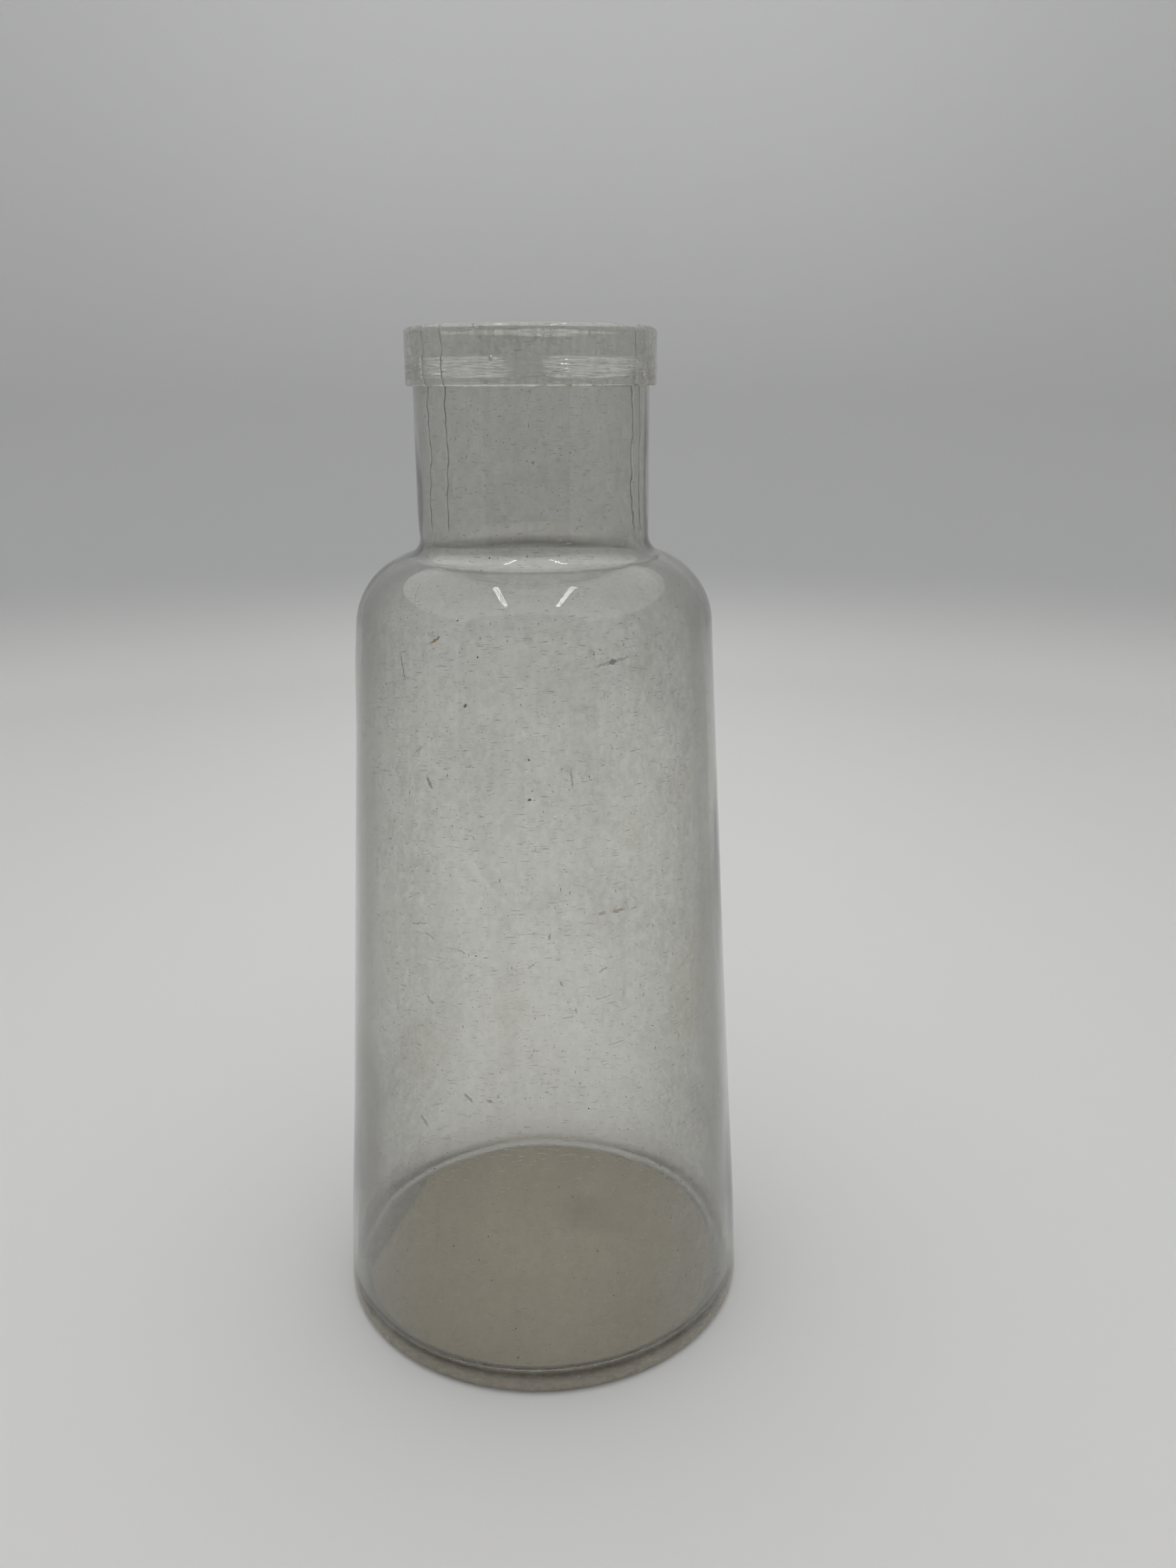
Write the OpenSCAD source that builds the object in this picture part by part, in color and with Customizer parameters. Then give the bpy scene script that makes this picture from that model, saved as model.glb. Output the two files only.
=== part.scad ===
// Wide-mouth glass laboratory flask: a slightly conical body on a thick base, a
// rounded shoulder, a straight neck and a banded lip round the mouth.
// Every part is a body of revolution about +Z, and the origin is the middle of the
// face that the flask stands on. All lengths are in millimetres.

/* [Overall] */
// Height from the table to the top of the rim
flask_h = 221.4; // [205:0.1:260]
// Widest outer diameter, just above the heel
base_d = 95.5; // [88:0.5:104]

/* [Glass] */
// Thickness of the body and shoulder walls
wall = 1.4; // [1:0.1:2.2]
// Height of the inside floor above the table
floor_z = 3.4; // [2.6:0.1:5]
// Height of the hollow pushed up under the base
kick_h = 1.2; // [0.4:0.1:1.6]
// Width of the flat ring that the flask stands on
stand_w = 7; // [4:0.5:12]
// Outer radius of the heel
heel_r = 2; // [1:0.1:3]
// Inner radius where the floor turns up into the wall
corner_r = 3.6; // [2:0.1:4.5]

/* [Shoulder] */
// Outer diameter where the straight wall ends and the shoulder starts
shoulder_d = 75.9; // [72:0.1:80]
// Height at which the shoulder starts
shoulder_z = 162.4; // [150:0.1:166]
// Outer radius of the shoulder's curve
shoulder_r = 15.7; // [13:0.1:18]
// Radius of the hollow curve between the shoulder and the neck
root_r = 4.2; // [3:0.1:6]

/* [Neck and lip] */
// Outer diameter of the neck
neck_d = 48.3; // [44:0.1:52]
// Thickness of the neck's wall
neck_wall = 1.1; // [0.8:0.1:1.4]
// Outer diameter of the lip band
lip_d = 51.2; // [50:0.1:56]
// Height of the lip band
lip_h = 11.3; // [8:0.1:16]
// Rounding of the rim's outer and inner edges
rim_r = 1.2; // [0.5:0.1:1.2]
// Rounding of the lip band's lower outer edge
lip_edge_r = 0.5; // [0.2:0.05:0.6]
// Depth and height of the crevice under the lip band, against the neck
crevice = 0.45; // [0.2:0.05:0.6]

/* [Hidden] */
$fn = 96;

base_r = base_d / 2;
neck_r = neck_d / 2;
lip_r = lip_d / 2;
bore_r = neck_r - neck_wall;

// The straight wall leans in by this angle, and its normal points out and up
taper = atan((base_r - shoulder_d / 2) / (shoulder_z - heel_r));
wall_n = [cos(taper), sin(taper)];
// Distance of the outer wall line from the origin, measured along its normal
wall_k = wall_n * [shoulder_d / 2, shoulder_z];

// Centres of the shoulder's curve and of the hollow curve under the neck
shoulder_c = [shoulder_d / 2, shoulder_z] - shoulder_r * wall_n;
root_dx = neck_r + root_r - shoulder_c[0];
root_c = [neck_r + root_r, shoulder_c[1] + sqrt(pow(root_r + shoulder_r, 2) - pow(root_dx, 2))];

// Planes where one part is fused to the next
base_top = floor_z + corner_r + 0.4;
body_top = shoulder_c[1] - 1;
neck_foot = root_c[1];
lip_foot = flask_h - lip_h;

// The hollow under the base is part of a large sphere
kick_edge = base_r - heel_r - stand_w;
kick_sphere = (pow(kick_edge, 2) + pow(kick_h, 2)) / (2 * kick_h);
max_r = base_r + 10;

// Centre of a circle of radius r that touches the floor at height z and the
// wall line set in by depth
function corner_c(depth, z, r) =
    [(wall_k - depth - r - wall_n[1] * (z + r)) / wall_n[0], z + r];

// Half section of the whole flask, filled in to the axis. depth sets the wall in
// from the outer surface, z is the floor and r the radius of the lower corner.
module envelope_2d(depth, z, r) {
    low = corner_c(depth, z, r);
    curve_r = shoulder_r - depth;
    blend_r = root_r + depth;
    blend_dir = (root_c - shoulder_c) / (root_r + shoulder_r);
    blend_point = shoulder_c + curve_r * blend_dir;
    side_r = neck_r - depth;

    // Foot, straight wall and everything inside the shoulder's curve
    polygon([
        [0, z],
        [low[0], z],
        low + r * wall_n,
        shoulder_c + curve_r * wall_n,
        shoulder_c,
        [0, shoulder_c[1]]
    ]);
    translate(low)
        circle(r);
    intersection() {
        translate(shoulder_c)
            circle(curve_r);
        square([max_r, flask_h]);
    }
    // Top of the shoulder, hollowed by the curve under the neck
    difference() {
        polygon([
            [0, shoulder_c[1]],
            shoulder_c,
            blend_point,
            root_c,
            [0, root_c[1]]
        ]);
        translate(root_c)
            circle(blend_r);
    }
    // Neck, open at the top
    translate([0, root_c[1] - 0.01])
        square([side_r, flask_h - root_c[1] + 0.01]);
}

// Half section of the glass, from the hollow under the base up to the mouth
module glass_2d() {
    difference() {
        envelope_2d(0, 0, heel_r);
        envelope_2d(wall, floor_z, corner_r);
        translate([0, kick_h - kick_sphere])
            circle(kick_sphere, $fn = 360);
    }
}

// The part of the glass between two heights, turned about the axis
module glass_between(low, high) {
    rotate_extrude()
        intersection() {
            glass_2d();
            translate([0, low])
                square([max_r, high - low]);
        }
}

// Half section of the rim, neck and lip band together, with its edges rounded
module rim_2d() {
    square_h = lip_h - rim_r;
    translate([bore_r, lip_foot])
        square([lip_r - bore_r, square_h]);
    translate([bore_r + rim_r, lip_foot + square_h - 0.01])
        square([lip_r - bore_r - 2 * rim_r, rim_r + 0.01]);
    for (x = [bore_r + rim_r, lip_r - rim_r])
        translate([x, flask_h - rim_r])
            circle(rim_r);
}

// Thick moulded bottom: standing ring, hollow underside, heel and floor
module base() {
    color([0.72, 0.75, 0.71, 0.5])
        glass_between(0, base_top);
}

// Straight wall that leans in towards the shoulder
module body() {
    color([0.78, 0.81, 0.79, 0.4])
        glass_between(base_top, body_top);
}

// Rounded shoulder and the hollow curve that turns it up into the neck
module shoulder() {
    color([0.76, 0.79, 0.77, 0.4])
        glass_between(body_top, neck_foot);
}

// Straight tube whose top is the inner half of the rim
module neck() {
    color([0.78, 0.81, 0.79, 0.4])
        rotate_extrude() {
            translate([bore_r, neck_foot])
                square([neck_wall, lip_foot - neck_foot]);
            intersection() {
                rim_2d();
                translate([0, lip_foot - 0.01])
                    square([neck_r, lip_h + 1]);
            }
        }
}

// Band of glass wound round the mouth, with a crevice at its foot
module lip_band() {
    edge_x = lip_r - lip_edge_r;
    color([0.8, 0.82, 0.8, 0.5])
        rotate_extrude()
            difference() {
                intersection() {
                    rim_2d();
                    translate([neck_r, lip_foot])
                        square([lip_r, lip_h + 1]);
                }
                // Rounded lower outer edge
                difference() {
                    translate([edge_x, lip_foot - 1])
                        square([lip_edge_r + 1, lip_edge_r + 1]);
                    translate([edge_x, lip_foot + lip_edge_r])
                        circle(lip_edge_r);
                }
                // Crevice against the neck
                polygon([
                    [neck_r - 1, lip_foot - 1],
                    [neck_r + crevice + 1, lip_foot - 1],
                    [neck_r - 1, lip_foot + crevice + 1]
                ]);
            }
}

base();
body();
shoulder();
neck();
lip_band();
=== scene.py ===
"""Old clear-glass flask, stained and scratched, standing in a pale light tent."""

import math

import bmesh
import bpy
from mathutils import Euler, Matrix, Vector, noise


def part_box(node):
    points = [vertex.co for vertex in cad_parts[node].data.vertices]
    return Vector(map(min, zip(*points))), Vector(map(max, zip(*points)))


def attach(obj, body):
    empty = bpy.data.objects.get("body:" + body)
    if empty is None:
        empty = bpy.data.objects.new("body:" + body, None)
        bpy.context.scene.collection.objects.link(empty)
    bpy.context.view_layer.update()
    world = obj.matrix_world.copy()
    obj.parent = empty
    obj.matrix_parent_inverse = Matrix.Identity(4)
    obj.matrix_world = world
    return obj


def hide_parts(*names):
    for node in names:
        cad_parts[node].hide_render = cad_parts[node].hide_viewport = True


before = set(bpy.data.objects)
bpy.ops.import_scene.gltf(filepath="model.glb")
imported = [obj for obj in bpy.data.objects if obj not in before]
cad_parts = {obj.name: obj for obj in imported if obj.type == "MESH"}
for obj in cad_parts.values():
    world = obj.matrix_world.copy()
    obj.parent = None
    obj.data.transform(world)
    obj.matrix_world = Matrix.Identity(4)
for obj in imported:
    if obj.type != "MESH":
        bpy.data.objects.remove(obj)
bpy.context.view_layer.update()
MM = 0.001

# ---------------------------------------------------------------- sizes
# Read from the frame: heights and radii of each node.
BASE_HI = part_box("base")[1]
BODY_LO, BODY_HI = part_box("body")
SHOULDER_LO, SHOULDER_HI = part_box("shoulder")
NECK_LO, NECK_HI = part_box("neck")
LIP_LO, LIP_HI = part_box("lip_band")

BASE_TOP = BASE_HI.z
BODY_TOP = BODY_HI.z
NECK_FOOT = NECK_LO.z
LIP_FOOT = LIP_LO.z
RIM_Z = LIP_HI.z
NECK_R = NECK_HI.x
LIP_R = LIP_HI.x

# Shape of the glass that the boxes don't say.
WALL = 1.4 * MM
NECK_WALL = 1.1 * MM
FLOOR_Z = 3.4 * MM
KICK_H = 1.2 * MM
STAND_W = 7 * MM
HEEL_R = 2 * MM
CORNER_R = 3.6 * MM
SHOULDER_R = 15.7 * MM
ROOT_R = 4.2 * MM
RIM_R = 1.2 * MM
LIP_EDGE_R = 0.5 * MM
CREVICE = 0.45 * MM
BORE_R = NECK_R - NECK_WALL

# Steps round the glass, and how many times closer they are near the folds in the neck.
TURNS = 288
FOLD_STEPS = 6

# Mean radius of the wall, which lays marks out flat in metres.
MEAN_R = 0.042

# The straight wall is a line: its normal, and its distance from the origin along it.
WALL_RISE = SHOULDER_LO.z - BODY_LO.z
TAPER = math.atan((BODY_HI.x - SHOULDER_HI.x) / WALL_RISE)
WALL_N = Vector((math.cos(TAPER), math.sin(TAPER)))
WALL_K = WALL_N.dot(Vector((BODY_HI.x, BODY_LO.z)))


def wall_radius(z, depth=0.0):
    """Radius of the wall line at a height, set in by depth."""
    return (WALL_K - depth - WALL_N.y * z) / WALL_N.x


def corner_centre(z, radius, depth):
    """Centre of a circle that touches the floor at height z and the wall line."""
    inset = WALL_K - depth - radius - WALL_N.y * (z + radius)
    return Vector((inset / WALL_N.x, z + radius))


# Centres of the shoulder's curve and of the hollow curve under the neck. The neck's
# foot is level with the second one.
ROOT_C = Vector((NECK_R + ROOT_R, NECK_FOOT))


def find_shoulder_centre():
    """The centre lies SHOULDER_R inside the wall line and touches the root's curve."""
    reach = ROOT_R + SHOULDER_R
    low, high = NECK_FOOT - reach, NECK_FOOT
    for _ in range(60):
        mid = (low + high) / 2
        x = wall_radius(mid, SHOULDER_R)
        if math.hypot(ROOT_C.x - x, ROOT_C.y - mid) > reach:
            low = mid
        else:
            high = mid
    return Vector((wall_radius(low, SHOULDER_R), low))


SHOULDER_C = find_shoulder_centre()
ROOT_ANGLE = math.atan2(ROOT_C.y - SHOULDER_C.y, ROOT_C.x - SHOULDER_C.x)


# ---------------------------------------------------------------- profiles
def smooth(start, end, x):
    """0 at start, 1 at end and a smooth step between."""
    t = min(1.0, max(0.0, (x - start) / (end - start)))
    return t * t * (3 - 2 * t)


def arc(centre, radius, start, end, steps):
    """Points on an arc from one angle to another, in radians."""
    out = []
    for i in range(steps + 1):
        a = start + (end - start) * i / steps
        out.append((centre[0] + radius * math.cos(a), centre[1] + radius * math.sin(a)))
    return out


def line(start, end, step):
    """Points on a straight stretch, both ends included."""
    count = max(1, math.ceil(math.dist(start, end) / step))
    return [
        (start[0] + (end[0] - start[0]) * i / count, start[1] + (end[1] - start[1]) * i / count)
        for i in range(count + 1)
    ]


def join(*runs):
    """One list from several runs of points, without doubled ends."""
    out = []
    for run in runs:
        for point in run:
            if not out or math.dist(out[-1], point) > 1e-7:
                out.append(point)
    return out


def base_underside():
    """From the middle of the domed underside out over the ring that it stands on."""
    heel = corner_centre(0.0, HEEL_R, 0.0)
    edge = heel.x - STAND_W
    sphere = (edge * edge + KICK_H * KICK_H) / (2 * KICK_H)
    top = math.pi / 2
    return join(
        arc((0.0, KICK_H - sphere), sphere, top, top - math.asin(edge / sphere), 24),
        line((edge, 0.0), (heel.x, 0.0), 1 * MM),
    )


def base_outside():
    """From the stand ring round the heel to the top of the base's outer wall."""
    heel = corner_centre(0.0, HEEL_R, 0.0)
    heel_end = heel + HEEL_R * WALL_N
    return join(
        arc(heel, HEEL_R, -math.pi / 2, TAPER, 16),
        line(heel_end, (wall_radius(BASE_TOP), BASE_TOP), 0.6 * MM),
    )


def base_inside():
    """From the top of the base's inner wall in to the middle of the floor."""
    corner = corner_centre(FLOOR_Z, CORNER_R, WALL)
    start = (wall_radius(BASE_TOP, WALL), BASE_TOP)
    return join(
        line(start, corner + CORNER_R * WALL_N, 1 * MM),
        arc(corner, CORNER_R, TAPER, -math.pi / 2, 16),
        line((corner.x, FLOOR_Z), (0.0, FLOOR_Z), 2 * MM),
    )


def body_side(depth):
    """The straight wall from its foot to its top, set in by depth."""
    foot = (wall_radius(BASE_TOP, depth), BASE_TOP)
    return line(foot, (wall_radius(BODY_TOP, depth), BODY_TOP), 1.5 * MM)


def shoulder_side(depth):
    """From the body's top up to the neck's foot, set in by depth.

    The wall thins to the neck's thickness on the hollow curve under the neck.
    """
    curve = arc(SHOULDER_C, SHOULDER_R - depth, TAPER, ROOT_ANGLE, 44)
    steps = 28
    root = []
    for i in range(steps + 1):
        t = i / steps
        a = ROOT_ANGLE + math.pi - ROOT_ANGLE * t
        r = ROOT_R + depth * (1 + (NECK_WALL / WALL - 1) * smooth(0.0, 1.0, t))
        root.append((ROOT_C.x + r * math.cos(a), ROOT_C.y + r * math.sin(a)))
    return join(line((wall_radius(BODY_TOP, depth), BODY_TOP), curve[0], 1 * MM), curve, root)


def rim_inside():
    """From the fused face over the rim's inner half and down into the bore."""
    centre = (BORE_R + RIM_R, RIM_Z - RIM_R)
    return join([(NECK_R, RIM_Z)], arc(centre, RIM_R, math.pi / 2, math.pi, 10))


def lip_outside():
    """From the crevice round the band's lower edge and up over the rim's outer half."""
    low = (LIP_R - LIP_EDGE_R, LIP_FOOT + LIP_EDGE_R)
    high = (LIP_R - RIM_R, RIM_Z - RIM_R)
    return join(
        [(NECK_R, LIP_FOOT + CREVICE), (NECK_R + CREVICE, LIP_FOOT)],
        arc(low, LIP_EDGE_R, -math.pi / 2, 0.0, 8),
        line((LIP_R, low[1]), (LIP_R, high[1]), 0.6 * MM),
        arc(high, RIM_R, 0.0, math.pi / 2, 12),
        [(NECK_R, RIM_Z)],
    )


# ---------------------------------------------------------------- hand-made unevenness
def bump(x, centre, width):
    """A bell curve, 1 at its centre."""
    return math.exp(-(((x - centre) / width) ** 2))


def wave(angle, z, turns, height, seed):
    """Smooth noise round the glass, mostly between -1 and 1: patches per turn, their height."""
    at = Vector((turns * math.cos(angle), turns * math.sin(angle), z / height + seed))
    return 2.0 * noise.noise(at)


def outer_offset(angle, z):
    """How far the outer surface stands out of true, in metres."""
    right = math.cos(angle)
    swell = 0.2 * MM * bump(z, 22 * MM, 16 * MM)
    left = max(0.0, -right)
    lopsided = 0.3 * MM * left * (bump(z, 154 * MM, 9 * MM) - 1.6 * bump(z, 177 * MM, 4 * MM))
    ripple = 0.05 * MM * wave(angle, z, 1.6, 30 * MM, 3.1) * smooth(0.0, 8 * MM, z)
    return swell + lopsided + ripple


# Folds in the neck's inner face: where each one's two creases are, in degrees to the
# right of the front, and how far they stand in.
FOLDS = ((-57, -43, 0.2 * MM), (60, 68, 0.18 * MM))
# Half width of a crease, how far a fold reaches past its creases, and the stretch before
# and after them that has closer steps, all in degrees.
CREASE = 0.6
FOLD_REACH = 8
CLOSER_BEFORE = 4.5
CLOSER_AFTER = 3


def fold_height(angle, z):
    """How far the folds stand into the neck: two wavy creases and a low step between."""
    right_of_front = math.degrees(math.remainder(angle + math.pi / 2, 2 * math.pi))
    height = 0.0
    for start, end, rise in FOLDS:
        if not start - FOLD_REACH < right_of_front < end + FOLD_REACH:
            continue
        sway = 3.2 * noise.noise(Vector((start, 0.3, z / (5 * MM))))
        sway += 2.0 * noise.noise(Vector((end, 0.7, z / (1.6 * MM))))
        near, far = start + sway, end + 0.6 * sway
        fade = 1 + 0.8 * noise.noise(Vector((end, 1.1, z / (6 * MM))))
        step = smooth(near - CREASE, near + CREASE, right_of_front)
        step -= smooth(far - CREASE, far + CREASE, right_of_front)
        creases = bump(right_of_front, near, CREASE) + bump(right_of_front, far, CREASE)
        height += rise * fade * (creases + 0.4 * step)
    return height


def even_turns():
    """Angles round the glass, evenly spaced."""
    return [2 * math.pi * s / TURNS for s in range(TURNS)]


def fold_turns():
    """Angles round the glass, closer together near the folds."""
    out = []
    for s in range(TURNS):
        degrees = 360.0 * s / TURNS
        right_of_front = math.degrees(math.remainder(math.radians(degrees + 90), 2 * math.pi))
        near = any(
            start - CLOSER_BEFORE < right_of_front < end + CLOSER_AFTER for start, end, _ in FOLDS
        )
        steps = FOLD_STEPS if near else 1
        out += [math.radians(degrees + 360.0 / TURNS * i / steps) for i in range(steps)]
    return out


def inner_offset(angle, z):
    """How far the inner surface stands out of true: thin on the left, thick on the right."""
    thick = -0.32 * MM * math.cos(angle)
    drift = 0.12 * MM * wave(angle, z, 1.5, 45 * MM, 7.7)
    offset = thick + drift + outer_offset(angle, z) * 0.5
    neck = smooth(NECK_FOOT + 1 * MM, NECK_FOOT + 5 * MM, z) * smooth(RIM_Z, RIM_Z - 4 * MM, z)
    if neck > 0:
        offset -= neck * fold_height(angle, z)
        offset += neck * 0.03 * MM * wave(angle, z, 4.0, 22 * MM, 1.9)
    return offset


def true_point(r, z, depth, angle):
    """A point of the section turned to an angle and moved by the unevenness above."""
    if depth is None:
        depth = min(1.0, max(0.0, (NECK_R - r) / NECK_WALL))
    move = (1 - depth) * outer_offset(angle, z) + depth * inner_offset(angle, z)
    move *= min(1.0, r / (0.85 * BASE_HI.x)) if z < BASE_TOP else 1.0
    return ((r + move) * math.cos(angle), (r + move) * math.sin(angle), z)


# How many times taller than wide an air bubble is.
BUBBLE_STRETCH = 1.5


def add_bubble(verts, faces, slots, right_of_front, z, r, size):
    """A seed of air in the glass, taller than it is wide. Its faces look into the air."""
    around, up = 16, 10
    angle = math.radians(right_of_front) - math.pi / 2
    centre = Vector((r * math.cos(angle), r * math.sin(angle), z))
    first = len(verts)
    for i in range(up + 1):
        lift = math.pi * i / up - math.pi / 2
        for j in range(around):
            turn = 2 * math.pi * j / around
            out = math.cos(lift)
            ball = Vector((out * math.cos(turn), out * math.sin(turn), BUBBLE_STRETCH * math.sin(lift)))
            if i in (0, up) and j:
                continue
            verts.append(tuple(centre + size / 2 * ball))
    for i in range(up):
        for j in range(around):
            k = (j + 1) % around
            low, high = first + 1 + (i - 1) * around, first + 1 + i * around
            if i == 0:
                faces.append((first, high + j, high + k))
            elif i == up - 1:
                faces.append((low + k, low + j, high))
            else:
                faces.append((low + k, low + j, high + j, high + k))
            slots.append(OUTER)


def new_object(name, verts, faces, materials):
    """A mesh object with its materials, put in the scene."""
    mesh = bpy.data.meshes.new(name)
    mesh.from_pydata(verts, [], faces)
    for material in materials:
        mesh.materials.append(material)
    obj = bpy.data.objects.new(name, mesh)
    bpy.context.collection.objects.link(obj)
    return obj


def lathe(name, runs, materials, angles, bubbles=()):
    """Closed mesh of revolution. runs go round the section: (slot, depth, points).

    The section runs up the outside and down the inside, which turns its faces outwards.
    depth is 0 on the outer surface, 1 on the inner one and None where it follows from
    the radius. A run that ends on the axis closes there.
    """
    rings, slots_of = [], []
    for slot, depth, points in runs:
        open_end = points[:-1] if points[-1][0] > 1e-7 else points
        for r, z in open_end:
            rings.append((r, z, depth))
            slots_of.append(slot)
    verts, ids_of = [], []
    for r, z, depth in rings:
        if r < 1e-7:
            ids_of.append([len(verts)])
            verts.append((0.0, 0.0, z))
            continue
        ids_of.append(range(len(verts), len(verts) + len(angles)))
        for angle in angles:
            verts.append(true_point(r, z, depth, angle))
    faces, slots = [], []
    for i, low in enumerate(ids_of):
        high = ids_of[(i + 1) % len(ids_of)]
        if len(low) == 1 and len(high) == 1:
            continue
        for s in range(len(angles)):
            t = (s + 1) % len(angles)
            if len(low) == 1:
                faces.append((low[0], high[t], high[s]))
            elif len(high) == 1:
                faces.append((low[s], low[t], high[0]))
            else:
                faces.append((low[s], low[t], high[t], high[s]))
            slots.append(slots_of[i])
    for bubble in bubbles:
        add_bubble(verts, faces, slots, *bubble)
    obj = new_object(name, verts, faces, materials)
    obj.data.polygons.foreach_set("material_index", slots)
    obj.data.polygons.foreach_set("use_smooth", [True] * len(faces))
    sharpen_fused_edges(obj.data)
    return obj


def sharpen_fused_edges(mesh):
    """Marks the rings round the fused faces sharp, so they don't bend the glass's shading."""
    shell = bmesh.new()
    shell.from_mesh(mesh)
    for edge in shell.edges:
        kinds = {face.material_index == FUSED for face in edge.link_faces}
        edge.smooth = len(kinds) == 1
    shell.to_mesh(mesh)
    shell.free()
    mesh.update()


# ---------------------------------------------------------------- materials
class Net:
    """Short calls for wiring one material's nodes."""

    def __init__(self, name):
        self.material = bpy.data.materials.new(name)
        self.material.use_nodes = True
        self.nodes = self.material.node_tree.nodes
        self.links = self.material.node_tree.links
        self.shader = self.nodes["Principled BSDF"]

    def put(self, value, socket):
        """Sets a socket to a number or colour, or links another node's output to it."""
        if isinstance(value, bpy.types.NodeSocket):
            self.links.new(value, socket)
        else:
            socket.default_value = value

    def math(self, operation, a, b=0.0, c=0.0):
        node = self.nodes.new("ShaderNodeMath")
        node.operation = operation
        for value, socket in zip((a, b, c), node.inputs):
            self.put(value, socket)
        return node.outputs[0]

    def place(self):
        return self.nodes.new("ShaderNodeTexCoord").outputs["Object"]

    def parts(self, at):
        node = self.nodes.new("ShaderNodeSeparateXYZ")
        self.links.new(at, node.inputs[0])
        return node.outputs

    def stretch(self, at, scale, shift=(0.0, 0.0, 0.0)):
        node = self.nodes.new("ShaderNodeMapping")
        self.links.new(at, node.inputs["Vector"])
        node.inputs["Scale"].default_value = scale
        node.inputs["Location"].default_value = shift
        return node.outputs[0]

    def twisted(self, at, slope):
        """The place turned about Z with height, so that level streaks climb at a slope."""
        node = self.nodes.new("ShaderNodeVectorRotate")
        node.rotation_type = "Z_AXIS"
        self.links.new(at, node.inputs["Vector"])
        height = self.parts(at)["Z"]
        self.put(self.math("MULTIPLY", height, -1.0 / (MEAN_R * slope)), node.inputs["Angle"])
        return node.outputs[0]

    def unrolled(self, at):
        """The wall laid flat: metres to the right of the front, and height."""
        across = self.parts(at)
        angle = self.math("ARCTAN2", across["X"], self.math("MULTIPLY", across["Y"], -1.0))
        node = self.nodes.new("ShaderNodeCombineXYZ")
        self.put(self.math("MULTIPLY", angle, MEAN_R), node.inputs["X"])
        self.put(across["Z"], node.inputs["Y"])
        return node.outputs[0]

    def noise(self, at, scale, detail=3.0, rough=0.5, warp=0.0):
        node = self.nodes.new("ShaderNodeTexNoise")
        self.links.new(at, node.inputs["Vector"])
        node.inputs["Scale"].default_value = scale
        node.inputs["Detail"].default_value = detail
        node.inputs["Roughness"].default_value = rough
        node.inputs["Distortion"].default_value = warp
        return node.outputs["Fac"]

    def dots(self, at, spacing, radius):
        """Round dots where the surface passes close to scattered points."""
        node = self.nodes.new("ShaderNodeTexVoronoi")
        self.links.new(at, node.inputs["Vector"])
        node.inputs["Scale"].default_value = 1.0 / spacing
        return self.fade(node.outputs["Distance"], 0.6 * radius / spacing, radius / spacing, 1.0, 0.0)

    def spot(self, flat, right_of_front, height, length, width, tilt):
        """A soft oval on the unrolled wall, from its middle's place and its half sizes."""
        node = self.nodes.new("ShaderNodeMapping")
        node.vector_type = "TEXTURE"
        self.links.new(flat, node.inputs["Vector"])
        node.inputs["Location"].default_value = (math.radians(right_of_front) * MEAN_R, height, 0.0)
        node.inputs["Rotation"].default_value = (0.0, 0.0, math.radians(tilt))
        node.inputs["Scale"].default_value = (length, width, 1.0)
        size = self.nodes.new("ShaderNodeVectorMath")
        size.operation = "LENGTH"
        self.links.new(node.outputs[0], size.inputs[0])
        return self.fade(size.outputs["Value"], 0.5, 1.0, 1.0, 0.0)

    def shaken(self, at, reach, scale):
        """The place moved a little by noise, so that what is drawn there has ragged edges."""
        wobble = self.nodes.new("ShaderNodeTexNoise")
        self.links.new(at, wobble.inputs["Vector"])
        wobble.inputs["Scale"].default_value = scale
        wobble.inputs["Detail"].default_value = 3.0
        middle = self.stretch(at, (1, 1, 1), (-reach / 2, -reach / 2, -reach / 2))
        node = self.nodes.new("ShaderNodeVectorMath")
        node.operation = "MULTIPLY_ADD"
        self.links.new(wobble.outputs["Color"], node.inputs[0])
        node.inputs[1].default_value = (reach, reach, reach)
        self.links.new(middle, node.inputs[2])
        return node.outputs[0]

    def depth_at_slant(self):
        """How much deeper a thin film is at a slant than straight through, up to 4.8 times."""
        node = self.nodes.new("ShaderNodeLayerWeight")
        node.inputs["Blend"].default_value = 0.5
        straight = self.math("MAXIMUM", self.math("SUBTRACT", 1.0, node.outputs["Facing"]), 0.3)
        return self.math("POWER", straight, -1.3)

    def product(self, *values):
        total = values[0]
        for value in values[1:]:
            total = self.math("MULTIPLY", total, value)
        return total

    def bump(self, height, distance):
        node = self.nodes.new("ShaderNodeBump")
        node.inputs["Distance"].default_value = distance
        self.put(height, node.inputs["Height"])
        self.links.new(node.outputs[0], self.shader.inputs["Normal"])

    def coat(self, tint, layers, murk):
        """Clear glass of a tint under films: each layer is its cover, 0 to 1, and its colour.

        murk is how much the glass darkens where it is seen at a slant.
        """
        deep = self.math("MULTIPLY", self.math("SUBTRACT", self.depth_at_slant(), 1.0), murk)
        edge = [0.55 * channel for channel in tint]
        clear, colour = 1.0, self.mix(deep, (*tint, 1), (*edge, 1))
        for cover, paint in layers:
            clear = self.math("MULTIPLY", clear, self.math("SUBTRACT", 1.0, cover))
            strength = self.math("MINIMUM", self.math("MULTIPLY", cover, 2.0), 1.0)
            colour = self.mix(strength, colour, (*paint, 1))
        self.put(clear, self.shader.inputs["Transmission Weight"])
        self.put(colour, self.shader.inputs["Base Color"])
        self.shader.inputs["IOR"].default_value = GLASS_IOR

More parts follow.
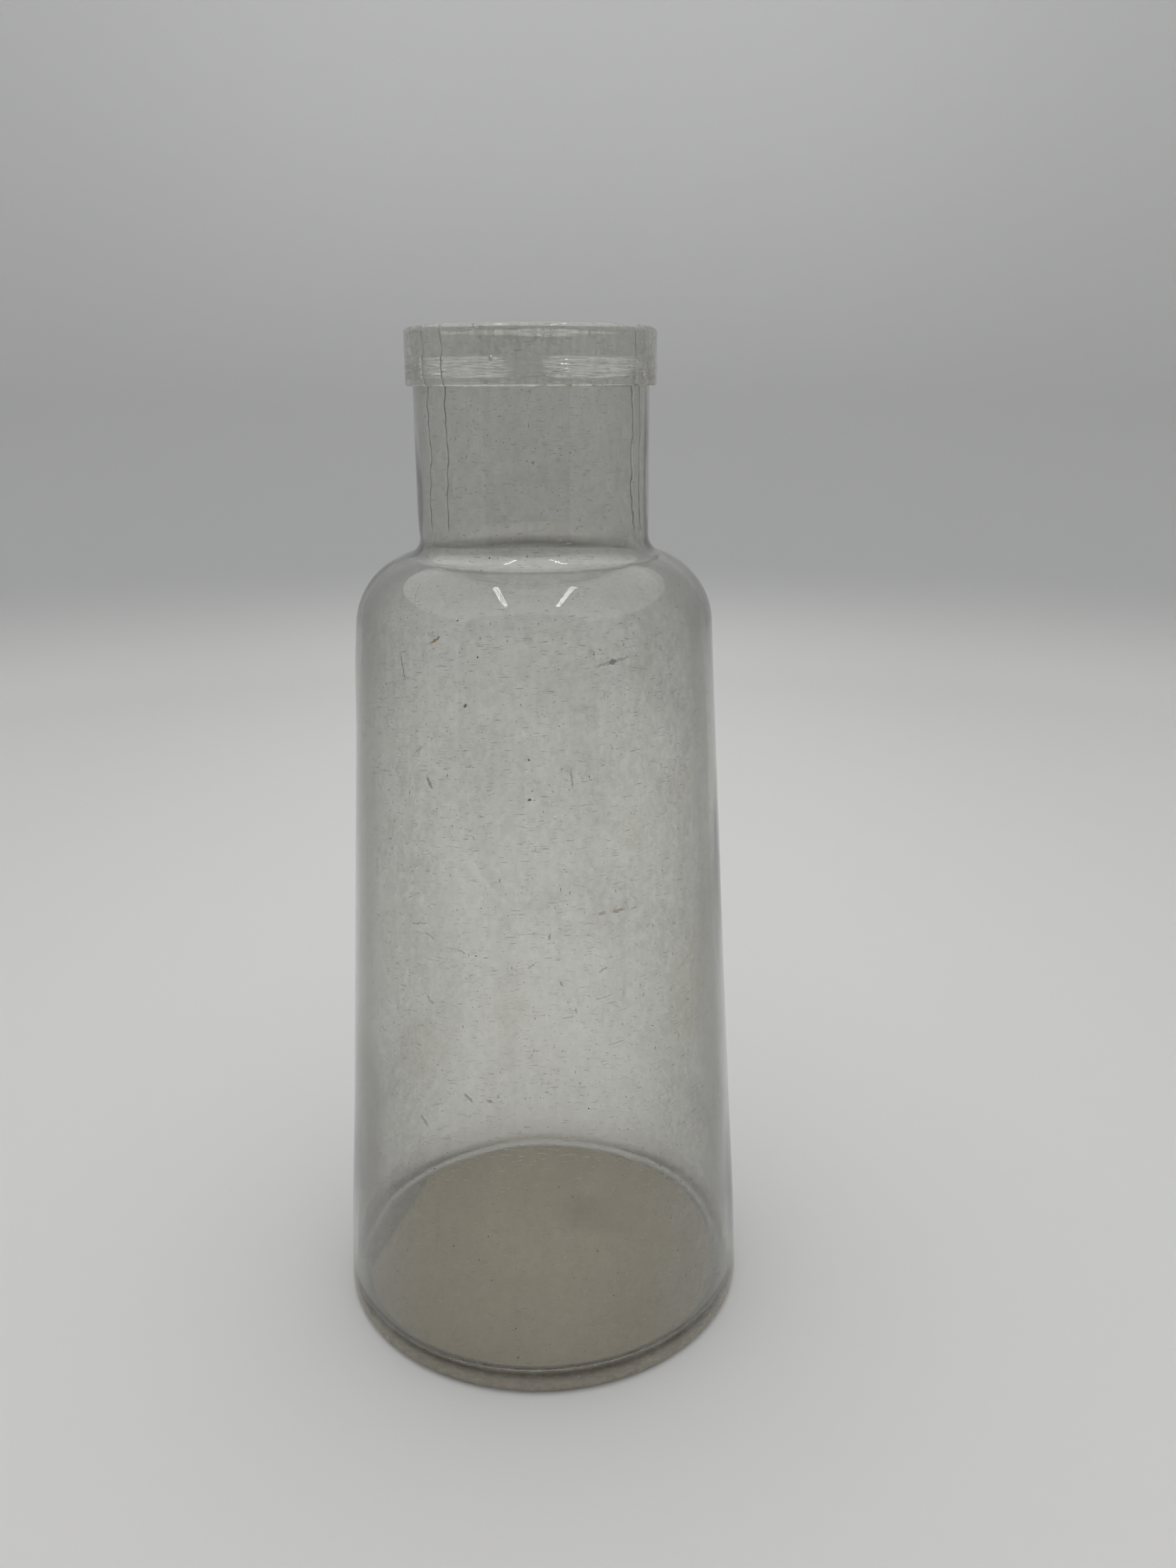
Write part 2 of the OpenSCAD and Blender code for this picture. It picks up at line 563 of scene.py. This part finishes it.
    def fade(self, value, low, high, start=0.0, end=1.0):
        """start below low, end above high and a smooth step between."""
        node = self.nodes.new("ShaderNodeMapRange")
        node.interpolation_type = "SMOOTHSTEP"
        for v, name in (
            (value, "Value"),
            (low, "From Min"),
            (high, "From Max"),
            (start, "To Min"),
            (end, "To Max"),
        ):
            self.put(v, node.inputs[name])
        return node.outputs["Result"]

    def mix(self, amount, first, second):
        node = self.nodes.new("ShaderNodeMix")
        node.data_type = "RGBA"
        self.put(amount, node.inputs["Factor"])
        self.put(first, node.inputs["A"])
        self.put(second, node.inputs["B"])
        return node.outputs["Result"]


# Colours of the glass, and of what lies on it.
TINT = (0.96, 0.96, 0.935)
NECK_TINT = (0.93, 0.93, 0.905)
UNDERSIDE_TINT = (0.93, 0.89, 0.77)
DUST = (0.5, 0.5, 0.46)
GRIME = (0.16, 0.14, 0.115)
SPECK = (0.03, 0.025, 0.02)
RUST = (0.27, 0.18, 0.09)
STAIN = (0.5, 0.43, 0.27)
# Pale haze of the inside's mist, partly painted light that lightens dark refracted rings.
HAZE_AND_PAINTED_LIGHT = (0.93, 0.87, 0.84)
SILT = (0.79, 0.71, 0.55)

GLASS_IOR = 1.5
# Roughness of clean glass outside and inside, and of the inside under mist or silt.
CLEAN_OUTSIDE = 0.02
CLEAN_INSIDE = 0.03
DULL_INSIDE = 0.5
# How much glass darkens where it is seen at a slant: the wall, and the neck with its lip.
WALL_MURK = 0.3
NECK_MURK = 0.12
# Cover of the scratches, the rare dark dots and the mist's pale haze, which is partly painted light.
SCRATCH_COVER = 0.3
SPECK_COVER = 0.9
MIST_AND_LIGHT_COVER = 0.14
# Bump depth of the swells in the glass, the scratches on it and the scuffs under it.
SWELL_DEPTH = 0.05 * MM

# Marks on the front of the wall, their places in round steps: degrees to the right of the
# front, height, half length and half width in millimetres, tilt in degrees, and cover.
MARKS = (
    (25, 160, 1.3, 0.7, 10, 0.45),
    (25, 160, 5.5, 0.45, 10, 0.3),
    (-40, 158, 3.2, 0.22, -75, 0.4),
    (-40, 172, 2.6, 0.2, -60, 0.3),
    (-18, 152, 0.45, 0.4, 0, 0.85),
    (0, 142, 0.4, 0.3, 30, 0.8),
    (0, 134, 0.45, 0.25, -60, 0.8),
    (-30, 136, 1.9, 0.55, -60, 0.4),
    (-34, 142, 1.8, 0.3, 35, 0.3),
    (12, 138, 2.8, 0.28, -85, 0.3),
    (-34, 106, 3.4, 0.25, 15, 0.3),
    (-30, 104, 2.0, 0.25, -20, 0.25),
    (-20, 102, 1.2, 0.3, -15, 0.25),
    (-30, 90, 1.6, 0.25, -50, 0.3),
    (0, 100, 1.2, 0.3, 35, 0.25),
    (8, 96, 1.1, 0.3, -60, 0.3),
    (12, 90, 0.9, 0.35, 90, 0.25),
    (5, 106, 0.9, 0.35, 80, 0.3),
    (20, 98, 1.4, 0.3, 25, 0.3),
    (20, 92, 3.0, 0.2, 10, 0.22),
    (45, 78, 0.8, 0.3, 70, 0.3),
    (-18, 70, 1.7, 0.5, -40, 0.35),
    (-12, 70, 0.9, 0.4, -20, 0.35),
    (-32, 62, 1.9, 0.5, -50, 0.32),
)
RUSTY_MARKS = (
    (-28, 164, 1.9, 0.35, 30, 0.55),
    (20, 110, 1.1, 0.45, 0, 0.3),
    (25, 110, 1.9, 0.55, 0, 0.34),
    (30, 110, 1.2, 0.3, 5, 0.3),
)
STAINED = (
    (50, 88, 9, 16, 0, 0.13),
    (30, 125, 4, 6, 0, 0.08),
    (-35, 78, 7, 9, 0, 0.1),
    (50, 132, 5, 6, 0, 0.1),
)
# Painted shade: dark patches low on the wall's left and right sides, where the glass is seen edge-on
# from the front. Columns as in MARKS.
PAINTED_SIDE_SHADE = (
    (-65, 52, 14, 30, 0, 0.16),
    (65, 80, 10, 50, 0, 0.1),
)


def marks(net, flat, table):
    """The union of a table's marks."""
    cover = 0.0
    for right_of_front, height, length, width, tilt, strength in table:
        spot = net.spot(flat, right_of_front, height * MM, length * MM, width * MM, tilt)
        cover = net.math("MAXIMUM", cover, net.math("MULTIPLY", spot, strength))
    return cover


def mottling(net, at, seed, tall=0.7):
    """Uneven cover round 1: level bands, tall streaks, clouds and a fine grain.

    It is heavier on the right and high on the wall, and lighter on the shoulder and low
    down on the front and back.
    """
    place = net.parts(at)
    bands = net.noise(net.stretch(at, (1, 1, 3), (seed, seed, 0)), 16.0, 3.0, 0.55)
    streaks = net.noise(net.stretch(at, (1, 1, tall), (seed, 0, 0)), 210.0, 5.0, 0.62)
    clouds = net.noise(net.stretch(at, (1, 1, 0.7), (0, seed, 0)), 60.0, 4.0, 0.55)
    grain = net.noise(net.stretch(at, (1, 1, 0.7), (0, 0, seed)), 620.0, 4.0, 0.65)
    aside = net.math("ABSOLUTE", place["X"])
    # Thinner cover low down near the middle of the front and back.
    thinner_low_middle = net.math(
        "MULTIPLY",
        net.fade(aside, 18 * MM, 36 * MM, 0.7, 0.0),
        net.fade(place["Z"], 40 * MM, 120 * MM, 1.0, 0.0),
    )
    return net.product(
        net.fade(bands, 0.35, 0.65, 0.75, 1.25),
        net.fade(streaks, 0.32, 0.68, 0.75, 1.25),
        net.fade(clouds, 0.32, 0.68, 0.75, 1.25),
        net.fade(grain, 0.34, 0.66, 0.55, 1.45),
        net.fade(place["X"], -MEAN_R, MEAN_R, 1.02, 1.22),
        net.math("SUBTRACT", 1.0, thinner_low_middle),
        net.fade(place["Z"], 130 * MM, 150 * MM, 1.0, 1.25),
        net.fade(place["Z"], 152 * MM, 163 * MM, 1.0, 0.72),
        net.math("POWER", net.depth_at_slant(), 0.6),
    )


def scratches(net, at, seed):
    """Fine hairs that curl, and short dashes that climb to the right, in patches."""
    curls = net.noise(net.stretch(at, (1, 1, 1), (seed, seed, 0)), 130.0, 1.5, 0.5, 0.5)
    level = net.math("ABSOLUTE", net.math("SUBTRACT", curls, 0.5))
    hair = net.fade(level, 0.002, 0.008, 1.0, 0.0)
    patches = net.fade(net.noise(net.stretch(at, (1, 1, 1), (0, 0, seed)), 75.0, 3.0, 0.6), 0.62, 0.72)
    climbing = net.stretch(net.twisted(at, 0.32), (1, 1, 9), (0, seed, 0))
    dashes = net.fade(net.noise(climbing, 420.0, 1.0, 0.4), 0.68, 0.75)
    return net.math("MAXIMUM", net.product(hair, patches, 0.6), dashes)


def flecks(net, at, seed):
    """Bits of dirt, longer than they are wide."""
    upright = net.stretch(net.shaken(at, 0.5 * MM, 900.0), (1, 1, 0.35), (0, 0, seed))
    climbing = net.stretch(net.shaken(net.twisted(at, 0.5), 0.6 * MM, 700.0), (1, 1, 4), (seed, 0, 0))
    small = net.dots(upright, 2.4 * MM, 0.17 * MM)
    large = net.dots(climbing, 4.5 * MM, 0.35 * MM)
    return net.math("MAXIMUM", small, large)


def worn_outside(name, tint, dust, seed, table=(), rusty=(), stained=(), murk=WALL_MURK, heel=0.0):
    """Handled glass: dust, scratches, specks of dirt and the marks of the tables; with stains, also
    painted shade on the wall's sides.

    heel is the cover of a silty film low on the base.
    """
    net = Net(name)
    at = net.place()
    flat = net.shaken(net.unrolled(at), 1.1 * MM, 1500.0)
    scratched = scratches(net, at, seed)
    layers = [
        (net.math("MULTIPLY", mottling(net, at, seed), dust), DUST),
        (net.math("MULTIPLY", scratched, SCRATCH_COVER), GRIME),
        (net.math("MULTIPLY", net.dots(at, 1.7 * MM, 0.15 * MM), 0.45), GRIME),
        (net.math("MULTIPLY", net.dots(at, 6.0 * MM, 0.2 * MM), SPECK_COVER), SPECK),
        (net.math("MULTIPLY", flecks(net, at, seed), 0.38), GRIME),
    ]
    if table:
        layers.append((marks(net, flat, table), GRIME))
    if rusty:
        layers.append((marks(net, flat, rusty), RUST))
    if stained:
        wide = net.shaken(net.unrolled(at), 9 * MM, 90.0)
        layers.append((marks(net, wide, stained), STAIN))
        # Painted shade on the wall's sides, in the dirt's dark colour.
        layers.append((marks(net, wide, PAINTED_SIDE_SHADE), GRIME))
    if heel:
        z = net.parts(at)["Z"]
        above = net.fade(z, 0.6 * MM, 2.4 * MM, 0.1, heel)
        layers.append((net.math("MULTIPLY", above, net.fade(z, 3.4 * MM, 5.5 * MM, 1.0, 0.0)), SILT))
    net.coat(tint, layers, murk)
    net.shader.inputs["Roughness"].default_value = CLEAN_OUTSIDE
    swirl = net.noise(net.stretch(at, (1, 1, 0.5), (seed, 0, 0)), 75.0, 2.0, 0.5)
    net.bump(net.math("MULTIPLY_ADD", scratched, -0.15, swirl), SWELL_DEPTH)
    return net.material


def mist_and_painted_light(net, at):
    """Where the inside is misted, with a pale haze that is partly painted light over dark refracted
    rings: the floor's corner and the neck's root.

    Both are strongest behind the axis. The corner's mist fades out on the way to the
    front, and the root's stays behind.
    """
    place = net.parts(at)
    cloud = net.noise(net.stretch(at, (1, 1, 0.6), (4, 0, 0)), 90.0, 4.0, 0.6)
    height = net.math("MULTIPLY_ADD", cloud, 9 * MM, place["Z"])
    behind = net.fade(place["Y"], -28 * MM, 4 * MM)
    corner = net.product(net.fade(height, 10 * MM, 22 * MM, 1.0, 0.0), behind)
    root = net.product(
        net.fade(place["Z"], NECK_FOOT - 9 * MM, NECK_FOOT - 5 * MM, 0.0, 0.8),
        net.fade(place["Z"], NECK_FOOT - 1 * MM, NECK_FOOT + 2 * MM, 1.0, 0.0),
        net.fade(place["Y"], 0.0, 14 * MM),
    )
    return net.math("ADD", corner, root)


def inside_films(net, at, film, seed):
    """What dried on the inside: a dull film, dark runs and yellow stains."""
    runs = net.noise(net.stretch(at, (1, 1, 0.12), (seed, 0, 0)), 260.0, 3.0, 0.6)
    stains = net.noise(net.stretch(at, (1, 1, 0.35), (0, seed, 0)), 48.0, 4.0, 0.6)
    return [
        (net.math("MULTIPLY", mottling(net, at, seed, 0.5), film), DUST),
        (net.math("MULTIPLY", net.fade(runs, 0.64, 0.76), 0.06), GRIME),
        (net.math("MULTIPLY", net.fade(stains, 0.56, 0.7), 0.07), STAIN),
    ]


def filmed_inside(name, tint, film, seed, murk=WALL_MURK):
    """The inside of the wall or neck: dried films, and mist at the back whose pale haze is partly
    painted light.
    """
    net = Net(name)
    at = net.place()
    mist = mist_and_painted_light(net, at)
    layers = inside_films(net, at, film, seed)
    # The mist's pale haze: partly painted light over the dark refracted ring at the neck's root and the
    # floor's corner.
    layers.append((net.math("MULTIPLY", mist, MIST_AND_LIGHT_COVER), HAZE_AND_PAINTED_LIGHT))
    net.coat(tint, layers, murk)
    net.put(net.fade(mist, 0.0, 1.0, CLEAN_INSIDE, DULL_INSIDE), net.shader.inputs["Roughness"])
    swell = net.noise(net.stretch(at, (1, 1, 0.35), (0, seed, 0)), 48.0, 4.0, 0.6)
    net.bump(swell, SWELL_DEPTH)
    return net.material


def silted_floor(name, film, seed):
    """The floor inside: a brown-grey film that stops at the corner, drawn back on the left."""
    net = Net(name)
    at = net.place()
    cloud = net.noise(net.stretch(at, (1, 1, 1), (2, 0, 0)), 55.0, 5.0, 0.6)
    grain = net.noise(net.stretch(at, (1, 1, 1), (0, 4, 0)), 700.0, 3.0, 0.6)
    height = net.math("MULTIPLY_ADD", cloud, 0.1 * MM, net.parts(at)["Z"])
    level = net.fade(height, FLOOR_Z + 0.06 * MM, FLOOR_Z + 0.16 * MM, 1.0, 0.0)
    left = net.nodes.new("ShaderNodeVectorMath")
    left.operation = "DOT_PRODUCT"
    net.links.new(at, left.inputs[0])
    left.inputs[1].default_value = (-0.967, 0.255, 0.0)
    edge = net.math("MULTIPLY_ADD", cloud, 2.0 * MM, left.outputs["Value"])
    settled = net.math("MULTIPLY", level, net.fade(edge, 39.2 * MM, 39.9 * MM, 1.0, 0.0))
    even = net.product(net.fade(cloud, 0.3, 0.7, 0.95, 1.03), net.fade(grain, 0.3, 0.7, 0.97, 1.03))
    middle = net.nodes.new("ShaderNodeVectorMath")
    middle.operation = "DISTANCE"
    net.links.new(net.shaken(at, 16 * MM, 60.0), middle.inputs[0])
    middle.inputs[1].default_value = (12 * MM, 12 * MM, FLOOR_Z + 8 * MM)
    patch = net.fade(middle.outputs["Value"], 3 * MM, 15 * MM, 0.16, 0.0)
    bare = net.math("SUBTRACT", 1.0, settled)
    mist = net.math("MULTIPLY", mist_and_painted_light(net, at), bare)
    layers = [(net.product(mottling(net, at, seed, 0.5), bare, film), DUST)]
    layers += [
        # The mist's pale haze: partly painted light over the dark refracted ring at the floor's corner.
        (net.math("MULTIPLY", mist, MIST_AND_LIGHT_COVER), HAZE_AND_PAINTED_LIGHT),
        (net.product(settled, even, 0.8), SILT),
        (net.product(settled, patch), GRIME),
        (net.product(net.dots(at, 6.0 * MM, 0.35 * MM), 0.8), SPECK),
        (net.product(net.dots(at, 2.6 * MM, 0.3 * MM), net.fade(cloud, 0.5, 0.7), 0.3), GRIME),
    ]
    net.coat(TINT, layers, WALL_MURK)
    dull = net.math("MAXIMUM", settled, mist)
    net.put(net.fade(dull, 0.0, 1.0, CLEAN_INSIDE, DULL_INSIDE), net.shader.inputs["Roughness"])
    net.bump(grain, 0.03 * MM)
    return net.material


def ground_underside(name):
    """The underside, scuffed and silted all over."""
    net = Net(name)
    at = net.place()
    scuffs = net.noise(net.stretch(at, (1, 1, 1), (0, 3, 0)), 420.0, 4.0, 0.65)
    net.coat(UNDERSIDE_TINT, [(net.fade(scuffs, 0.35, 0.65, 0.4, 0.75), SILT)], WALL_MURK)
    net.put(net.fade(scuffs, 0.3, 0.7, 0.25, 0.6), net.shader.inputs["Roughness"])
    net.bump(scuffs, SWELL_DEPTH)
    return net.material


def lip_outside_glass(name):
    """The lip band: tool marks on its lower half, rusty residue at its foot on the right."""
    net = Net(name)
    at = net.place()
    place = net.parts(at)
    scratched = scratches(net, at, 11.0)
    grimy = net.noise(net.stretch(at, (1, 1, 1), (5, 0, 0)), 260.0, 3.0, 0.6)
    side = net.fade(place["X"], -2 * MM, 5 * MM, 0.15, 1.0)
    low = net.fade(place["Z"], LIP_FOOT + 0.1 * MM, LIP_FOOT + 0.5 * MM, 1.0, 0.0)
    layers = [
        (net.math("MULTIPLY", mottling(net, at, 9.0), 0.16), DUST),
        (net.math("MULTIPLY", scratched, SCRATCH_COVER), GRIME),
        (net.math("MULTIPLY", net.dots(at, 6.0 * MM, 0.2 * MM), SPECK_COVER), SPECK),
        (net.product(net.fade(grimy, 0.45, 0.6), low, side, 0.7), RUST),
    ]
    net.coat(NECK_TINT, layers, NECK_MURK)
    net.shader.inputs["Roughness"].default_value = CLEAN_OUTSIDE
    tooled = net.noise(net.stretch(at, (1, 1, 16), (0, 0, 1)), 110.0, 2.0, 0.6)
    height = (place["Z"], LIP_FOOT + 1.2 * MM, LIP_FOOT + 2.6 * MM)
    above = (place["Z"], LIP_FOOT + 4.2 * MM, LIP_FOOT + 5.5 * MM, 1.0, 0.0)
    ragged = net.math("MULTIPLY_ADD", grimy, 6 * MM, net.math("ABSOLUTE", place["X"]))
    patches = net.fade(ragged, 5 * MM, 9 * MM, 0.2, 1.0)
    net.bump(net.product(tooled, patches, net.fade(*height), net.fade(*above)), 0.9 * MM)
    return net.material


def fused_face():
    """The face between two fused parts lets everything through unbent."""
    material = bpy.data.materials.new("fused_face")
    material.use_nodes = True
    nodes, links = material.node_tree.nodes, material.node_tree.links
    nodes.clear()
    clear = nodes.new("ShaderNodeBsdfTransparent")
    out = nodes.new("ShaderNodeOutputMaterial")
    links.new(clear.outputs[0], out.inputs["Surface"])
    return material


OUTER, INNER, FUSED, UNDERSIDE = 0, 1, 2, 3
fused = fused_face()
wall_outside = worn_outside("wall_outside", TINT, 0.055, 0.0, MARKS, RUSTY_MARKS, STAINED)
wall_inside = filmed_inside("wall_inside", TINT, 0.06, 3.0)
neck_outside = worn_outside("neck_outside", NECK_TINT, 0.06, 5.0, murk=NECK_MURK)
neck_inside = filmed_inside("neck_inside", NECK_TINT, 0.075, 6.0, murk=NECK_MURK)
base_outside_glass = worn_outside("base_outside", TINT, 0.07, 8.0, heel=0.22)
wall_slots = [wall_outside, wall_inside, fused]
neck_slots = [neck_outside, neck_inside, fused]
lip_slots = [lip_outside_glass("lip_outside"), neck_inside, fused]
floor_inside = silted_floor("silted_floor", 0.06, 3.0)
base_slots = [base_outside_glass, floor_inside, fused, ground_underside("underside")]


# ---------------------------------------------------------------- pieces
def stand_for(piece, node):
    """Puts a visual piece on the root body and hides the CAD node that it replaces."""
    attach(piece, "root")
    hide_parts(node)
    return piece


def wall_piece(name, outside, inside, node):
    """A ring of wall between two flat fused faces."""
    down = inside[::-1]
    runs = [
        (OUTER, 0, outside),
        (FUSED, 0, [outside[-1], down[0]]),
        (INNER, 1, down),
        (FUSED, 1, [down[-1], outside[0]]),
    ]
    return stand_for(lathe(name, runs, wall_slots, even_turns()), node)


def base_piece():
    under, outside, inside = base_underside(), base_outside(), base_inside()
    runs = [
        (UNDERSIDE, 0, under),
        (OUTER, 0, outside),
        (FUSED, 0, [outside[-1], inside[0]]),
        (INNER, 1, inside),
    ]
    return stand_for(lathe("base_glass", runs, base_slots, even_turns()), "base")


def neck_piece():
    rim = rim_inside()
    near_foot = (BORE_R, NECK_FOOT + 3 * MM)
    foot = (BORE_R, NECK_FOOT)
    bore = join(line(rim[-1], near_foot, 0.6 * MM), line(near_foot, foot, 0.2 * MM))
    runs = [
        (OUTER, 0, line((NECK_R, NECK_FOOT), (NECK_R, LIP_FOOT + CREVICE), 0.8 * MM)),
        (FUSED, 0, line((NECK_R, LIP_FOOT + CREVICE), rim[0], 0.8 * MM)),
        (OUTER, None, rim),
        (INNER, 1, bore),
        (FUSED, 1, [foot, (NECK_R, NECK_FOOT)]),
    ]
    bubbles = [
        (20, 198 * MM, NECK_R - 0.45 * MM, 0.35 * MM),
        (-128, 187 * MM, NECK_R - 0.5 * MM, 0.3 * MM),
    ]
    neck = lathe("neck_glass", runs, neck_slots, fold_turns(), bubbles)
    return stand_for(neck, "neck")


def lip_piece():
    outside = lip_outside()
    back = line(outside[-1], outside[0], 0.8 * MM)
    runs = [(OUTER, 0, outside), (FUSED, 0, back)]
    bubbles = [
        (-15, 215 * MM, LIP_R - 0.7 * MM, 0.7 * MM),
        (140, 217 * MM, LIP_R - 0.7 * MM, 0.4 * MM),
    ]
    lip = lathe("lip_band_glass", runs, lip_slots, fold_turns(), bubbles)
    return stand_for(lip, "lip_band")


base_piece()
wall_piece("body_glass", body_side(0.0), body_side(WALL), "body")
wall_piece("shoulder_glass", shoulder_side(0.0), shoulder_side(WALL), "shoulder")
neck_piece()
lip_piece()


# ---------------------------------------------------------------- studio
def studio():
    """A pale round floor that curves up into a low wall all round, open to a soft sky."""
    floor_r, curve_r, wall_top, drop = 0.68, 0.2, 0.75, -0.06 * MM
    section = join(
        line((0.03, drop), (floor_r, drop), 0.03),
        arc((floor_r, curve_r + drop), curve_r, -math.pi / 2, 0.0, 24),
        [(floor_r + curve_r, wall_top)],
    )
    turns = 96
    verts = [(0.0, 0.0, drop)]
    for r, z in section:
        for s in range(turns):
            a = 2 * math.pi * s / turns
            verts.append((r * math.cos(a), r * math.sin(a), z))
    faces = [(0, 1 + s, 1 + (s + 1) % turns) for s in range(turns)]
    for i in range(len(section) - 1):
        for s in range(turns):
            t = (s + 1) % turns
            low, high = 1 + i * turns, 1 + (i + 1) * turns
            faces.append((low + s, low + t, high + t, high + s))
    obj = new_object("studio", verts, faces, [studio_paper()])
    obj.data.polygons.foreach_set("use_smooth", [True] * len(faces))


def studio_paper():
    """Pale on the floor, warmer in front, and greyed aside as painted shade; the wall grey as painted
    shade, paler high up and in the middle as painted light.
    """
    net = Net("studio_paper")
    place = net.parts(net.place())
    floor = net.mix(net.fade(place["Y"], -0.25, 0.0), (0.835, 0.815, 0.775, 1), (0.835, 0.835, 0.825, 1))
    aside = net.math("ABSOLUTE", place["X"])
    # Painted shade: the floor greys towards the sides.
    floor = net.mix(net.fade(aside, 0.08, 0.3), floor, (0.785, 0.78, 0.765, 1))
    # Painted light and shade on the wall: grey low down and aside, paler high up and in the middle.
    middle = net.fade(aside, 0.05, 0.6, 1.0, 0.0)
    painted_wall_light = net.math("MULTIPLY", net.fade(place["Z"], 0.05, 0.5), net.fade(middle, 0.0, 1.0, 0.45, 1.0))
    wall = net.mix(painted_wall_light, (0.53, 0.535, 0.535, 1), (0.71, 0.715, 0.715, 1))
    net.put(net.mix(net.fade(place["Z"], -0.014, 0.07), floor, wall), net.shader.inputs["Base Color"])
    net.shader.inputs["Roughness"].default_value = 0.9
    net.shader.inputs["Specular IOR Level"].default_value = 0.1
    return net.material


def glowing(name, colour, strength):
    net = Net(name)
    net.shader.inputs["Base Color"].default_value = (0, 0, 0, 1)
    net.shader.inputs["Specular IOR Level"].default_value = 0.0
    net.shader.inputs["Roughness"].default_value = 1.0
    net.shader.inputs["Emission Color"].default_value = (*colour, 1)
    net.shader.inputs["Emission Strength"].default_value = strength
    return net.material


def seen_in_gloss(name, verts, faces, material):
    """A stage piece that only reflections see."""
    obj = new_object(name, verts, faces, [material])
    obj.visible_camera = False
    obj.visible_diffuse = False
    obj.visible_transmission = False
    obj.visible_shadow = False
    obj.visible_volume_scatter = False


def front_opening():
    """The dim room beyond the light tent's open front, a panel with round top corners."""
    y, left, right, top, corner = -0.40, -0.385, 0.31, 0.61, 0.1
    rim = arc((right - corner, top - corner), corner, 0.0, math.pi / 2, 8)
    rim += arc((left + corner, top - corner), corner, math.pi / 2, math.pi, 8)
    rim += [(left, 0.01), (right, 0.01)]
    verts = [(x, y, z) for x, z in rim]
    faces = [tuple(range(len(verts)))]
    seen_in_gloss("front_opening", verts, faces, glowing("dim_room", (0.8, 0.9, 1.0), 0.04))


def lamp_strips():
    """Two strips of small lamps in the tent's roof."""
    roof, reach, pitch, half = 0.6, 0.113, 0.0165, 0.0025
    rows, first_row, column_gap = 17, 0.022, 0.007
    verts, faces = [], []
    for side in (-1, 1):
        for row in range(rows):
            for column in (-1, 0, 1):
                x = side * reach + column * column_gap
                y = first_row - row * pitch
                k = len(verts)
                verts += [(x - half, y - half, roof), (x + half, y - half, roof)]
                verts += [(x + half, y + half, roof), (x - half, y + half, roof)]
                faces.append((k, k + 1, k + 2, k + 3))
    seen_in_gloss("lamp_strips", verts, faces, glowing("lamps", (1.0, 1.0, 0.98), 35.0))


def sky(strength):
    world = bpy.data.worlds.new("studio_sky")
    bpy.context.scene.world = world
    world.use_nodes = True
    back = world.node_tree.nodes["Background"]
    back.inputs["Color"].default_value = (1, 1, 1, 1)
    back.inputs["Strength"].default_value = strength


def camera():
    """The view fitted to the photo. Places are in units of the camera's height."""
    height = 0.210
    data = bpy.data.cameras.new("camera")
    data.lens = 29.13
    data.sensor_width = 36.0
    data.clip_start = 0.01
    obj = bpy.data.objects.new("camera", data)
    obj.location = (0.0539 * height, -1.2946 * height, height)
    tilt = Euler((math.radians(90 - 17.40), 0.0, 0.0)).to_matrix()
    roll = Matrix.Rotation(math.radians(-0.165), 3, "Z")
    obj.rotation_euler = (tilt @ roll).to_euler()
    bpy.context.collection.objects.link(obj)
    bpy.context.scene.camera = obj


studio()
front_opening()
lamp_strips()
sky(1.0)
camera()
bpy.context.scene.view_settings.view_transform = "Standard"
bpy.context.scene.cycles.transparent_max_bounces = 32
bpy.context.scene.cycles.max_bounces = 24
bpy.context.scene.cycles.transmission_bounces = 24
